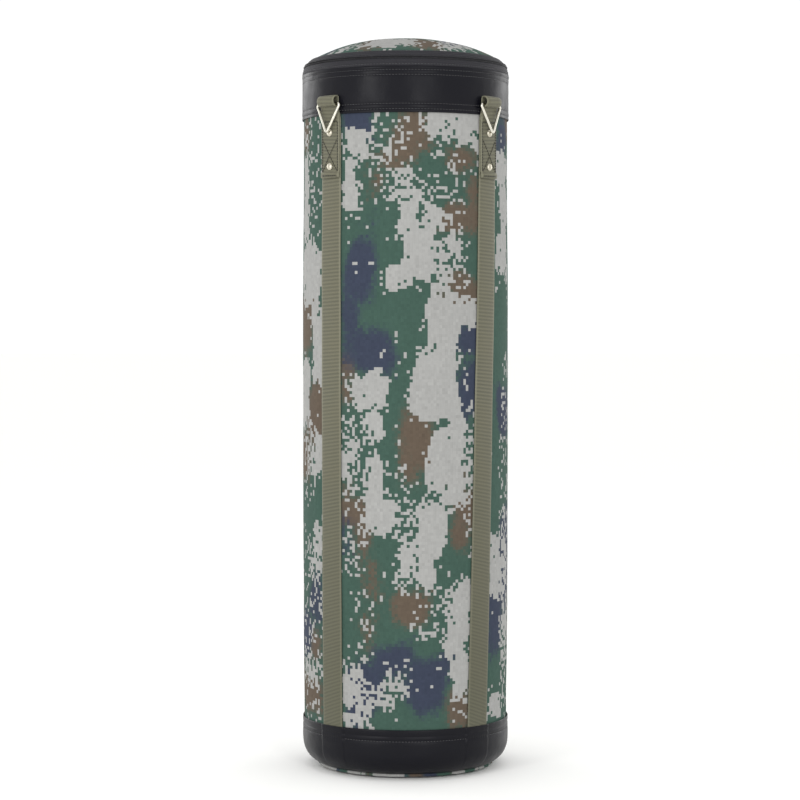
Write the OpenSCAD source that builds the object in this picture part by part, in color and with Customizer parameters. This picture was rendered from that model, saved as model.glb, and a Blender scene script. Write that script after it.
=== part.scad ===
// Hanging heavy bag: a stuffed canvas cylinder with leather end bands, four webbing straps
// with triangular steel rings, and a zipped cap. Millimetres, +Z up, origin at the centre of
// the base. Angles round the bag are counted from -Y towards +X.

/* [Bag] */
// Radius of the stuffed canvas tube
bag_r = 149.6; // [145:0.1:155]
// Height of the seam between the top band and the outer zip tape
shoulder_z = 1009; // [990:1:1030]
// Height of the top band's lower hem
top_hem_z = 945; // [940:1:950]
// Height of the base band's upper hem
base_hem_z = 72; // [64:1:80]
// Height of the crown above its seam
crown_h = 29.5; // [20:0.5:36]
// Thickness of the canvas
canvas_t = 0.8; // [0.6:0.1:1]
// Thickness of the coated leather
leather_t = 0.9; // [0.7:0.1:1.2]
// Radius of the turned corner at the foot
foot_corner_r = 34; // [30:1:36]
// Radius of the turned shoulder at the top
shoulder_r = 27.3; // [26:0.1:29]

/* [Straps] */
// Width of the webbing
webbing_w = 38; // [36:0.5:38]
// Thickness of the webbing
webbing_t = 1.8; // [1.4:0.1:1.9]
// Height of the folded end of each strap's tail
tail_end_z = 854; // [840:1:860]
// Heights of the two rivets in each strap
rivet_zs = [871, 919];
// Radius of a rivet's dome
rivet_r = 5.5; // [4.5:0.1:5.8]

/* [Rings] */
// Radius of the ring wire
wire_r = 2; // [1.8:0.1:2]
// Half the width of a ring, to where the centre lines of its bar and leg cross
ring_half_w = 23.6; // [23:0.1:24.5]
// Height of a ring, from the bar to where the centre lines of its legs cross
ring_h = 42; // [41:0.5:42]
// Lean of a hanging ring, whose apex rests on the upper rivet
ring_lean = 5.5; // [5.5:0.1:6]

/* [Cap and zip] */
// Half the angle of the stretch at the back where the cap is sewn and not zipped
hinge_half_angle = 24; // [20:1:26]
// Width of one row of the zip's coil
coil_w = 2.4; // [2:0.1:2.6]

/* [Fill] */
// Thickness of the foam wall
foam_t = 15; // [10:1:20]

/* [Hidden] */
$fn = 96;
gap = 0.05;
soft_gap = 0.6;
band_r = bag_r + gap + leather_t;

// Straps, front, right, back and left: where each one is at its ring and at its foot
TOP_ANGLE = [0, 96.2, 180, 270];
FOOT_ANGLE = [0.8, 87.9, 180.8, 269.4];

// The strap lies on the canvas, and steps out where it passes over the top band
strap_low_r = bag_r + 0.1;
strap_high_r = band_r + 0.1;
step_z = top_hem_z - 4;
tail_low_r = strap_low_r + webbing_t;
tail_high_r = strap_high_r + webbing_t;
tail_face_r = tail_low_r + webbing_t;
tail_w = webbing_w - 2;
fold_top_z = tail_end_z + 7;
fold_t = 1;
tuck_z = base_hem_z - 20;
tunnel_t = webbing_t + 1;
pocket_r = bag_r + webbing_t + 0.3;

// The loop is a roll of webbing round the ring's hinge axis
loop_in_r = 6.4;
loop_out_r = loop_in_r + webbing_t;
loop_w = 33.6;
hinge_r = strap_high_r + 4.2;
hinge_z = top_hem_z + 18.5;
bar_drop = 3.8;
corner_r = 3;
apex_r = 2.6;
lap = 0.3;
bend_swell = 0.06;

// Rivets
shank_r = 2;
dome_h = 2.8;
washer_t = 1.2;
canvas_in_r = bag_r - canvas_t;
washer_in_r = canvas_in_r - 0.1 - washer_t;
mean_rivet_z = (rivet_zs[0] + rivet_zs[1]) / 2;

// Foot: the band turns in over an arc and meets the disc at the seam
foot_x = band_r - foot_corner_r;
foot_z = foot_corner_r + 4;
foot_turn = 73.8;
seam_x = foot_x + foot_corner_r * cos(foot_turn);
seam_z = foot_z - foot_corner_r * sin(foot_turn);
disc_t = 1.2;

// Shoulder: the zip lies on an arc, and the crown carries on from it
shoulder_x = band_r - shoulder_r;
crown_from = 61.5;
crown_x = shoulder_x + shoulder_r * cos(crown_from);
crown_z = shoulder_z + shoulder_r * sin(crown_from);
crown_power = 2.5;
coil_turn = 29;
coil_turns = coil_w / shoulder_r * 180 / PI;
coil_split = 0.7;
coil_h = 1.5;

// The cap hinges at the back, between the back and left straps
hinge_angle = 225;
zip_start = hinge_angle - hinge_half_angle - 1;
zip_sweep = 360 - 2 * hinge_half_angle - 2;
slider_angle = zip_start - 4;

// Slider: plate over both rows of the coil, and the arch that carries the pull
slider_len = 11;
slider_w = 2 * (coil_w + 2.2);
plate_t = 1.2;
plate_lift = coil_h + 0.75;
arch_len = 8;
arch_w = 2.8;
arch_gap = 1.6;
arch_t = 0.8;

// Pull: an eye round the arch, and a flat tab with a window
pull_t = 1.2;
pull_w = 6;
pull_len = 26;
eye_len = 6.6;
eye_w = arch_w + 0.6;
pivot_y = arch_len / 2 - 1.2 - 0.3 - pull_t / 2;
pivot_lift = plate_lift + plate_t + arch_gap / 2;

// Inside
foam_out_r = washer_in_r - 1.3;
foam_in_r = foam_out_r - foam_t;
foam_top_z = shoulder_z - 3;
liner_t = 0.8;
liner_r = foam_in_r - soft_gap;
fill_r = liner_r - liner_t - 0.3;
pad_top_z = foot_z;
fill_top_z = shoulder_z;

// ---- shared shapes ----

// Turns a shape made at +X to an angle round the bag, counted from -Y towards +X
module around(angle) {
    rotate([0, 0, angle - 90])
        children();
}

// A tube from radius a to radius b, between two heights
module tube(a, b, z0, z1) {
    translate([0, 0, z0])
        difference() {
            cylinder(r = b, h = z1 - z0);
            translate([0, 0, -1])
                cylinder(r = a, h = z1 - z0 + 2);
        }
}

// A patch of tube of the given width, centred on +X
module curved_strip(a, b, z0, z1, w) {
    half = asin(w / 2 / a);
    rotate([0, 0, -half])
        rotate_extrude(angle = 2 * half)
            translate([a, z0])
                square([b - a, z1 - z0]);
}

// Points on an arc about [cx, cz], from one turn to another
function arc(cx, cz, r, from, to, steps) =
    [for (i = [0:steps]) let (a = from + (to - from) * i / steps) [cx + r * cos(a), cz + r * sin(a)]];

// A band of the shoulder's arc, raised by lift and t thick, between two turns
module shoulder_profile(lift, t, from, to) {
    outer = arc(shoulder_x, shoulder_z, shoulder_r + lift, from, to, 6);
    inner = arc(shoulder_x, shoulder_z, shoulder_r + lift - t, to, from, 6);
    polygon(concat(outer, inner));
}

// Revolves a profile over a stretch of the bag's round
module revolve_from(start, sweep) {
    rotate([0, 0, start - 90])
        rotate_extrude(angle = sweep, $fn = 180)
            children();
}

// ---- canvas and leather ----

// Canvas tube, tucked under both bands
module canvas_body() {
    color("darkseagreen")
        difference() {
            tube(canvas_in_r, bag_r, tuck_z, top_hem_z + 12);
            rivet_holes(canvas_in_r - 2, bag_r + 2);
        }
}

// Leather band round the top, from its hem to the zip seam
module top_band() {
    color("#26262a")
        tube(bag_r + gap, band_r, top_hem_z, shoulder_z);
}

// Leather band round the foot, with a raised pocket over the tucked end of each strap
module base_band() {
    foot_in = foot_corner_r - leather_t;
    pocket_w = webbing_w + 7;
    color("#26262a")
        difference() {
            union() {
                rotate_extrude($fn = 180)
                    polygon(concat(
                        [[band_r, base_hem_z]],
                        arc(foot_x, foot_z, foot_corner_r, 0, -foot_turn, 12),
                        arc(foot_x, foot_z, foot_in, -foot_turn, 0, 12),
                        [[bag_r + gap, base_hem_z]]
                    ));
                for (i = [0:3])
                    around(FOOT_ANGLE[i])
                        curved_strip(band_r - 0.5, bag_r + tunnel_t, tuck_z - 2, base_hem_z - 0.2, pocket_w);
            }
            for (i = [0:3])
                around(FOOT_ANGLE[i])
                    curved_strip(bag_r - 1, pocket_r, tuck_z - 1, base_hem_z + 1, pocket_w - 4);
        }
}

// Canvas disc under the foot, with the rough lip of its seam allowance
module base_disc() {
    flat_r = foot_x - 2;
    color("darkseagreen")
        rotate_extrude($fn = 180)
            polygon([
                [0, 0], [flat_r, 0], [seam_x - 4, 1.2], [seam_x - 0.3, seam_z - 2.6],
                [seam_x + 0.5, seam_z - 1.5], [seam_x - 0.5, seam_z - 0.4],
                [seam_x - 3, seam_z - 1], [flat_r - 2, disc_t], [0, disc_t]
            ]);
}

// Height of the crown's outer face at radius x
function crown_at(x) = crown_z + crown_h * (1 - pow(x / crown_x, crown_power));

// Canvas cap, crowned by the stuffing
module top_cap() {
    steps = 14;
    outer = [for (i = [0:steps]) let (x = (crown_x - 0.4) * i / steps) [x, crown_at(x)]];
    inner = [for (i = [steps:-1:0]) let (x = (crown_x - 0.4) * i / steps) [x, crown_at(x) - 1]];
    color("darkseagreen")
        rotate_extrude($fn = 180)
            polygon(concat(outer, inner));
}

// ---- zip ----

// Tape sewn to the top band
module zip_tape_outer() {
    color("#202024")
        rotate_extrude($fn = 180)
            shoulder_profile(0, 0.8, 0.4, coil_turn - coil_split - 0.3);
}

// Tape sewn to the cap
module zip_tape_inner() {
    color("#202024")
        rotate_extrude($fn = 180)
            shoulder_profile(0, 0.8, coil_turn + coil_split + 0.3, crown_from - 0.4);
}

// One row of the coil, over the zipped stretch
module zip_coil(from, to) {
    color("#18181b")
        revolve_from(zip_start - zip_sweep, zip_sweep)
            shoulder_profile(coil_h + gap, coil_h, from, to);
}

module zip_coil_outer() {
    zip_coil(coil_turn - coil_split - coil_turns, coil_turn - coil_split);
}

module zip_coil_inner() {
    zip_coil(coil_turn + coil_split, coil_turn + coil_split + coil_turns);
}

// A place on the shoulder: X along the slope's outward normal, Y round the bag, Z up the slope
module on_shoulder(angle, turn, lift) {
    around(angle)
        translate([shoulder_x, 0, shoulder_z])
            rotate([0, -turn, 0])
                translate([shoulder_r + lift, 0, 0])
                    children();
}

// Slider: a plate over both rows, flanges beside them, and an arch that carries the pull
module zip_slider() {
    flange_in = coil_w + 1;
    post = 1.2;
    color("#c9c6bc")
        on_shoulder(slider_angle, coil_turn, plate_lift) {
            translate([0, -slider_len / 2, -slider_w / 2])
                cube([plate_t, slider_len, slider_w]);
            for (side = [0, 1])
                mirror([0, 0, side])
                    translate([-1.35, -slider_len / 2, flange_in])
                        cube([2, slider_len, slider_w / 2 - flange_in]);
            for (end = [0, 1])
                mirror([0, end, 0])
                    translate([plate_t - 0.1, arch_len / 2 - post, -arch_w / 2])
                        cube([arch_gap + 0.2, post, arch_w]);
            translate([plate_t + arch_gap, -arch_len / 2, -arch_w / 2])
                cube([arch_t, arch_len, arch_w]);
        }
}

// Pull: a pin under the slider's arch, an eye that clears the arch, and a tab with a window
module zip_pull() {
    rim = 1.6;
    color("#c9c6bc")
        on_shoulder(slider_angle, coil_turn, pivot_lift)
            translate([0, pivot_y, 0])
                difference() {
                    union() {
                        translate([0, 0, -pull_w / 2])
                            cylinder(r = pull_t / 2, h = pull_w, $fn = 32);
                        translate([-pull_t / 2, 0, -pull_w / 2])
                            cube([pull_t, pull_len, pull_w]);
                    }
                    translate([-pull_t, pull_t / 2, -eye_w / 2])
                        cube([2 * pull_t, eye_len - pull_t / 2, eye_w]);
                    translate([-pull_t, pull_len - rim - 7, -pull_w / 2 + rim])
                        cube([2 * pull_t, 7, pull_w - 2 * rim]);
                }
}

// Stops that close both ends of the coil on the outer tape
module zip_stops() {
    color("#c9c6bc")
        for (angle = [zip_start + 1.2, zip_start - zip_sweep - 1.2])
            on_shoulder(angle, coil_turn - coil_split - coil_turns / 2, gap)
                translate([0, -1.2, -1])
                    cube([coil_h, 2.4, 2]);
}

// Doubled tape behind the sewn stretch, where the cap folds back
module cap_hinge_strip() {
    color("#202024")
        revolve_from(hinge_angle - hinge_half_angle + 3, 2 * hinge_half_angle - 6)
            shoulder_profile(-0.9, 0.8, 4, coil_turn - 2);
}

// ---- straps ----

// Radial holes for the rivet shanks, from radius a to radius b
module rivet_holes(a, b) {
    for (i = [0:3])
        around(TOP_ANGLE[i])
            for (z = rivet_zs)
                translate([a, 0, z])
                    rotate([0, 90, 0])
                        cylinder(r = shank_r + 0.1, h = b - a, $fn = 32);
}

// The long run from the foot to the step: a band of tube cut out by a leaning slab
module strap_run(i) {
    foot_shift = bag_r * (FOOT_ANGLE[i] - TOP_ANGLE[i]) * PI / 180;
    lean = atan(foot_shift / (mean_rivet_z - base_hem_z));
    intersection() {
        tube(strap_low_r, strap_low_r + webbing_t, tuck_z, top_hem_z - 0.2);
        around((TOP_ANGLE[i] + FOOT_ANGLE[i]) / 2)
            translate([0, 0, (mean_rivet_z + base_hem_z) / 2])
                rotate([lean, 0, 0])
                    translate([bag_r - 5, -webbing_w / 2, -shoulder_z / 2])
                        cube([20, webbing_w, shoulder_z]);
    }
}

// The roll of webbing that holds the ring's bar
module strap_loop() {
    translate([hinge_r, 0, hinge_z])
        rotate([90, 0, 0])
            translate([0, 0, -loop_w / 2])
                linear_extrude(loop_w)
                    difference() {
                        circle(r = loop_out_r);
                        circle(r = loop_in_r);
                        translate([strap_high_r + 0.3 - hinge_r - 20, -20])
                            square([20, 40]);
                    }
}

// One strap: run, step over the band's hem, loop, and tail with its folded end
module strap(i) {
    color("#7f7f6b")
        difference() {
            union() {
                strap_run(i);
                around(TOP_ANGLE[i]) {
                    curved_strip(strap_high_r, tail_high_r, step_z, hinge_z + 3, webbing_w);
                    curved_strip(tail_low_r - 0.1, tail_face_r, tail_end_z, top_hem_z - 1, tail_w);
                    curved_strip(tail_high_r - 0.1, tail_high_r + webbing_t, step_z, hinge_z - 7, loop_w);
                    curved_strip(tail_low_r + 1, tail_face_r + fold_t, tail_end_z, fold_top_z, tail_w);
                    strap_loop();
                }
            }
            rivet_holes(bag_r - 2, bag_r + 12);
        }
}

module strap_front() strap(0);
module strap_right() strap(1);
module strap_back() strap(2);
module strap_left() strap(3);

// ---- rings ----

// A bend in the wire, in the YZ plane round the origin, turned anticlockwise from +Y by start
module wire_bend(r, start, turn) {
    rotate([90, 0, 90])
        rotate([0, 0, start])
            rotate_extrude(angle = turn, $fn = 48)
                translate([r, 0])
                    circle(r = wire_r + bend_swell, $fn = 32);
}

// One ring hanging from its hinge axis: a bar and two legs, joined by three bends
module ring(i) {
    leg_angle = atan(ring_half_w / ring_h);
    corner_turn = 90 + leg_angle;
    corner_cut = corner_r * tan(corner_turn / 2);
    apex_turn = 180 - 2 * leg_angle;
    apex_cut = apex_r * tan(apex_turn / 2);
    bar = 2 * (ring_half_w - corner_cut + lap);
    leg = norm([ring_half_w, ring_h]) - corner_cut - apex_cut + 2 * lap;
    color("#e8e6dc")
        around(TOP_ANGLE[i])
            translate([hinge_r, 0, hinge_z])
                rotate([0, -ring_lean, 0])
                    translate([0, 0, -bar_drop]) {
                        rotate([90, 0, 0])
                            cylinder(r = wire_r, h = bar, center = true, $fn = 32);
                        for (side = [0, 1])
                            mirror([0, side, 0]) {
                                translate([0, ring_half_w - corner_cut, -corner_r])
                                    wire_bend(corner_r, 90 - corner_turn, corner_turn);
                                translate([0, 0, -ring_h])
                                    rotate([-leg_angle, 0, 0])
                                        translate([0, 0, apex_cut - lap])
                                            cylinder(r = wire_r, h = leg, $fn = 32);
                            }
                        translate([0, 0, apex_r / sin(leg_angle) - ring_h])
                            wire_bend(apex_r, 270 - apex_turn / 2, apex_turn);
                    }
}

module ring_front() ring(0);
module ring_right() ring(1);
module ring_back() ring(2);
module ring_left() ring(3);

// ---- rivets ----

// A domed head of radius r and height h, along +X
module dome(r, h) {
    ball_r = (r * r + h * h) / (2 * h);
    intersection() {
        translate([h - ball_r, 0, 0])
            rotate([0, 90, 0])
                sphere(r = ball_r, $fn = 64);
        rotate([0, 90, 0])
            cylinder(r = r + 1, h = h + 1, $fn = 48);
    }
}

// Eight rivets: dome outside, shank through strap and canvas, spread end inside
module strap_rivets() {
    head_r = tail_face_r + gap;
    end_r = washer_in_r - 1;
    color("#e8e6dc")
        for (i = [0:3])
            around(TOP_ANGLE[i])
                for (z = rivet_zs)
                    translate([0, 0, z]) {
                        translate([head_r, 0, 0])
                            dome(rivet_r, dome_h);
                        translate([end_r, 0, 0])
                            rotate([0, 90, 0])
                                cylinder(r = shank_r, h = head_r - end_r + 0.5, $fn = 32);
                        translate([end_r, 0, 0])
                            rotate([0, 90, 0])
                                cylinder(r = shank_r + 1.2, h = 0.9, $fn = 32);
                    }
}

// Washers under the spread ends, against the inside of the canvas
module rivet_washers() {
    color("#b9b6ad")
        for (i = [0:3])
            around(TOP_ANGLE[i])
                for (z = rivet_zs)
                    translate([washer_in_r, 0, z])
                        rotate([0, 90, 0])
                            difference() {
                                cylinder(r = 6, h = washer_t - 0.1, $fn = 48);
                                translate([0, 0, -1])
                                    cylinder(r = shank_r + 0.05, h = 4, $fn = 32);
                            }
}

// ---- inside ----

// Foam sheet rolled round the filling
module foam_wall() {
    color("#8c8f94")
        tube(foam_in_r, foam_out_r, pad_top_z + soft_gap, foam_top_z);
}

// Foam pad that crowns the cap
module top_pad() {
    steps = 12;
    pad_r = crown_x - 4;
    dome_points = [for (i = [0:steps]) let (x = pad_r * i / steps) [x, crown_at(x) - 2]];
    color("#8c8f94")
        rotate_extrude($fn = 180)
            polygon(concat(dome_points, [[pad_r, fill_top_z + soft_gap], [0, fill_top_z + soft_gap]]));
}

// Foam pad that fills the turned foot
module base_pad() {
    floor_z = disc_t + 0.4;
    color("#8c8f94")
        rotate_extrude($fn = 180)
            polygon(concat(
                [[0, floor_z], [foot_x - 6, floor_z]],
                arc(foot_x, foot_z, foot_corner_r - 5, -70, 0, 8),
                [[0, pad_top_z]]
            ));
}

// Sack that keeps the filling together
module liner_sack() {
    floor_z = pad_top_z + 0.3;
    color("#d8d4c6")
        difference() {
            translate([0, 0, floor_z])
                cylinder(r = liner_r, h = fill_top_z - floor_z);
            translate([0, 0, floor_z + liner_t])
                cylinder(r = liner_r - liner_t, h = fill_top_z);
        }
}

// Packed textile scrap
module filling() {
    floor_z = pad_top_z + 0.3 + liner_t + 0.3;
    color("#9a8f86")
        translate([0, 0, floor_z])
            cylinder(r = fill_r, h = fill_top_z - 1 - floor_z);
}

canvas_body();
top_band();
base_band();
base_disc();
top_cap();
zip_tape_outer();
zip_tape_inner();
zip_coil_outer();
zip_coil_inner();
zip_slider();
zip_pull();
zip_stops();
cap_hinge_strip();
strap_front();
strap_right();
strap_back();
strap_left();
ring_front();
ring_right();
ring_back();
ring_left();
strap_rivets();
rivet_washers();
foam_wall();
top_pad();
base_pad();
liner_sack();
filling();
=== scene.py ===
# Hanging heavy bag: a stuffed canvas tube in camouflage print, with leather end bands, four
# webbing straps that each hold a triangular steel ring, and a cap that zips on. Metres, +Z up.
# Angles round the bag are in degrees, counted from -Y towards +X, as in the CAD.
from math import atan2, cos, degrees, exp, hypot, pi, radians, sin, tan, tau

import bmesh
import bpy
import numpy as np
from mathutils import Matrix, Vector, noise


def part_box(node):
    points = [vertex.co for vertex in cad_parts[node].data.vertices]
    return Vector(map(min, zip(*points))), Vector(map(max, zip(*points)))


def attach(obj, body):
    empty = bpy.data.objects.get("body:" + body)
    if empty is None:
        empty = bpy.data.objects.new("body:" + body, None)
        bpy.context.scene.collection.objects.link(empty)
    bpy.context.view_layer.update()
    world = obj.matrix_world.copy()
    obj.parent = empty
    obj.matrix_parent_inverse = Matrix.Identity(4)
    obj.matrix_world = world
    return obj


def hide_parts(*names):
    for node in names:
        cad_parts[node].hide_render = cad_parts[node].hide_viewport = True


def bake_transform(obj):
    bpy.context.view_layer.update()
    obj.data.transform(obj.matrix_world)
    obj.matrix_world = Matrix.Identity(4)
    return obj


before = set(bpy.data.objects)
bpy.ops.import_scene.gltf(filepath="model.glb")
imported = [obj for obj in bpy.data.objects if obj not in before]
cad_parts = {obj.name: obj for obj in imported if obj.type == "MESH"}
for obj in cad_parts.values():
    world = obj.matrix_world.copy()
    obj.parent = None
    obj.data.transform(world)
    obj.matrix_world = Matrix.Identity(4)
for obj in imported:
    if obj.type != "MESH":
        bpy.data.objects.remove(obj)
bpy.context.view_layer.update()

MM = 0.001

# ---- studio ----
# A pale floor in an even white room. Two tall softboxes stand either side of the camera and two
# more behind the bag. The camera stands a little above the bag's middle and looks slightly down.
CAMERA_ANGLE = 44.7
CAMERA_DISTANCE = 3.5
CAMERA_HEIGHT = 0.64
CAMERA_PITCH = 1.707
CAMERA_YAW = 0.1301
CAMERA_LENS = 107.03
LAMP_DISTANCE = 4.6
LAMP_HEIGHT = 1.5
LAMP_TILT = 78


def linear(hex_colour):
    """sRGB hex, such as "#b4b3ae", to a linear colour with alpha."""
    parts = [int(hex_colour[i:i + 2], 16) / 255 for i in (1, 3, 5)]
    return tuple(p / 12.92 if p <= 0.04045 else ((p + 0.055) / 1.055) ** 2.4 for p in parts) + (1.0,)


def add(tree, kind, links=None, values=None, **settings):
    """Adds a node: links are input = node or (node, output), values are input = number or colour."""
    node = tree.nodes.new(kind)
    for name, value in settings.items():
        setattr(node, name, value)
    for key, value in (values or {}).items():
        node.inputs[key].default_value = value
    for key, source in (links or {}).items():
        source, output = source if isinstance(source, tuple) else (source, 0)
        tree.links.new(source.outputs[output], node.inputs[key])
    return node


def start_material(name, **values):
    """A material with its Principled shader's own sockets set."""
    material = bpy.data.materials.new(name)
    material.use_nodes = True
    shader = material.node_tree.nodes["Principled BSDF"]
    for key, value in values.items():
        shader.inputs[key.replace("_", " ")].default_value = value
    return material, material.node_tree, shader


def at_angle(angle, radius, z=0.0):
    """A point at an angle round the bag."""
    a = radians(angle)
    return Vector((sin(a) * radius, -cos(a) * radius, z))


camera = bpy.data.objects.new("camera", bpy.data.cameras.new("camera"))
camera.data.sensor_width = 36.0
camera.data.lens = CAMERA_LENS
camera.location = at_angle(CAMERA_ANGLE, CAMERA_DISTANCE, CAMERA_HEIGHT)
camera.rotation_euler = (radians(90 - CAMERA_PITCH), 0, radians(CAMERA_ANGLE + CAMERA_YAW))
bpy.context.collection.objects.link(camera)
bpy.context.scene.camera = camera
bpy.context.scene.view_settings.view_transform = "Standard"

world = bpy.data.worlds.new("white_room")
world.use_nodes = True
world.node_tree.nodes["Background"].inputs["Color"].default_value = linear("#ffffff")
world.node_tree.nodes["Background"].inputs["Strength"].default_value = 1.05
bpy.context.scene.world = world

for name, angle, width, height, power in (
    ("softbox_left", 7, 0.84, 2.9, 48),
    ("softbox_right", 63, 0.76, 2.9, 38),
    ("rim_left", CAMERA_ANGLE - 134, 2.4, 2.6, 44),
    ("rim_right", CAMERA_ANGLE + 134, 2.4, 2.6, 34),
):
    lamp = bpy.data.objects.new(name, bpy.data.lights.new(name, "AREA"))
    lamp.data.shape = "RECTANGLE"
    lamp.data.size = width
    lamp.data.size_y = height
    lamp.data.energy = power
    lamp.location = at_angle(angle, LAMP_DISTANCE, LAMP_HEIGHT)
    lamp.rotation_euler = (radians(LAMP_TILT), 0, radians(angle))
    bpy.context.collection.objects.link(lamp)

floor_bm = bmesh.new()
bmesh.ops.create_circle(floor_bm, cap_ends=True, segments=96, radius=60.0)
floor_mesh = bpy.data.meshes.new("floor")
floor_bm.to_mesh(floor_mesh)
floor = bpy.data.objects.new("floor", floor_mesh)
floor.location = (0, 0, -0.0005)
bpy.context.collection.objects.link(floor)
# Matt white paper: even and without shine
paper = start_material("white_paper_matt", Roughness=0.95, Base_Color=linear("#fafaf8"))[0]
floor_mesh.materials.append(paper)

# ---- canvas tube ----
# One piece of printed cotton canvas, sewn into a tube with a felled seam up the back and tucked
# under both leather bands. The stuffing stretches it smooth, apart from faint unevenness.
CELL = 4.25 * MM
COLUMNS = 222
ROWS = 205
BAG_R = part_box("canvas_body")[1].x
BAND_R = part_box("top_band")[1].x
BASE_HEM_Z = 72 * MM
TOP_HEM_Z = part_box("top_band")[0].z
STEP = 360 / COLUMNS
SPARE_ROWS = 3
TONES = {"light": "#999997", "green": "#3c534a", "brown": "#5a4f44", "navy": "#363c4c"}

# Patches of the print, in squares: column from the front strap, row up from the base hem,
# half the width and half the height. Dark ground that isn't brown or navy is green.
LIGHT = [
    (12, 196, 5, 2), (10, 193, 4, 2), (8, 189, 2, 2), (7, 182, 1, 5), (44, 202, 10, 3), (46, 198, 5, 1),
    (53, 195, 1, 3), (26, 182, 1, 2), (28, 178, 4, 2), (28, 173, 3, 3), (28, 167, 3, 4), (37, 171, 2, 5),
    (33, 161, 7, 6), (34, 155, 9, 5), (24, 152, 3, 4), (37, 170, 3, 4), (42, 160, 3, 5),
    (40, 147, 3, 5), (25, 151, 5, 4),
    (-14, 152, 9, 10), (-19, 178, 3, 15), (-8, 129, 4, 13), (-19, 110, 5, 13), (-10, 92, 5, 6),
    (14, 112, 6, 6), (16, 100, 2, 5), (8, 89, 3, 7), (16, 84, 4, 9), (19, 72, 5, 4), (19, 68, 2, 2),
    (41, 135, 6, 8), (47, 139, 7, 4), (38, 115, 8, 13), (43, 90, 8, 14), (36, 67, 5, 9), (33, 55, 3, 5),
    (28, 57, 3, 6), (46, 36, 5, 11), (47, 17, 3, 9), (48, 46, 3, 4), (8, 10, 4, 10), (12, 4, 2, 4),
    (20, 10, 2, 2), (25, 15, 3, 2), (-11, 55, 5, 4), (-8, 62, 3, 4), (-13, 17, 7, 5), (71, 188, 6, 5),
    (72, 175, 4, 8), (71, 158, 6, 8), (68, 52, 8, 10), (74, 30, 5, 10), (64, 6, 4, 4),
]
BROWN = [
    (30, 201, 4, 4), (29, 196, 5, 3), (26, 192, 4, 3), (21, 189, 4, 3), (18, 183, 2, 3), (48, 190, 6, 4),
    (53, 180, 2, 6), (47, 170, 8, 4), (49, 146, 6, 4), (49, 142, 5, 2), (-18, 134, 6, 9),
    (-11, 105, 6, 10), (-20, 89, 5, 8), (7, 120, 2, 3), (7, 112, 2, 3), (32, 97, 5, 8), (27, 89, 2, 7),
    (7, 81, 2, 6), (9, 73, 5, 4), (13, 62, 3, 7), (16, 52, 3, 7), (50, 73, 5, 6), (46, 64, 4, 5),
    (29, 40, 5, 5), (14, 29, 2, 6), (46, 6, 4, 6), (-14, 9, 9, 6), (-10, 26, 4, 5), (48, 85, 3, 2),
    (-19, 199, 3, 5),
]
NAVY = [
    (10, 202, 5, 4), (14, 200, 2, 3), (11, 155, 6, 10), (7, 133, 2, 7), (16, 126, 8, 7), (50, 130, 5, 4),
    (50, 112, 4, 8), (6, 62, 2, 4), (22, 23, 7, 5), (15, 15, 3, 7), (34, 14, 7, 9), (-9, 43, 4, 9),
    (-18, 28, 5, 7),
    (71, 198, 6, 5), (71, 106, 7, 8), (74, 50, 5, 14), (64, 32, 4, 10), (9, 9, 2, 5),
]
# Stretches of dark ground that carry more loose light squares than the rest
SPECKLED = [
    (22, 192, 8, 13), (39, 185, 10, 10), (9, 102, 5, 8), (27, 67, 3, 21), (13, 34, 3, 13), (43, 155, 7, 13),
    (10, 2, 6, 6), (-11, 184, 5, 21), (24, 15, 5, 8), (28, 61, 3, 22), (-13, 30, 8, 34), (-15, 88, 5, 14),
    (74, 60, 7, 64), (9, 68, 4, 24), (36, 38, 7, 9), (51, 82, 3, 26), (10, 20, 4, 10),
]


def smooth_field(shape, radius, rng):
    """Even, wrapping noise whose blotches are about radius squares across and half as tall again."""
    rows = np.fft.fftfreq(shape[0])[:, None] * 1.5
    columns = np.fft.fftfreq(shape[1])[None, :]
    falloff = np.exp(-((rows ** 2 + columns ** 2) * (pi * radius) ** 2))
    field = np.fft.ifft2(np.fft.fft2(rng.standard_normal(shape)) * falloff).real
    return field / field.std()


def outside(shape, patches):
    """Squares from each square to the nearest patch's edge, negative inside one."""
    row, column = np.mgrid[0:shape[0], 0:shape[1]].astype(float)
    nearest = np.full(shape, 99.0)
    for at_column, at_row, half_width, half_height in patches:
        across = np.abs((column - at_column + shape[1] / 2) % shape[1] - shape[1] / 2) / (half_width + 0.5)
        along = np.abs(row - at_row) / (half_height + 0.5)
        reach = (across ** 3 + along ** 3) ** (1 / 3)
        nearest = np.minimum(nearest, (reach - 1) * min(half_width, half_height))
    return nearest


def fray(mask, edge, speckle, rng):
    """Swaps little groups of squares near the edges of the light patches, as the print does."""
    swap = np.zeros_like(mask)
    chance = 0.2 * np.exp(-np.abs(edge) / 1.0) + 0.03 * np.exp(-np.abs(edge) / 4) + speckle
    picks = rng.random(mask.shape) < np.where(mask & (speckle == 0), 0.4, 1.0) * chance
    shapes = [(1, 1)] * 9 + [(1, 2), (2, 1), (2, 1)]
    for row, column in zip(*np.nonzero(picks)):
        height, width = shapes[rng.integers(len(shapes))]
        for r in range(row, min(row + height, mask.shape[0])):
            for c in range(column, column + width):
                swap[r, c % mask.shape[1]] = True
    return mask ^ swap


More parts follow.
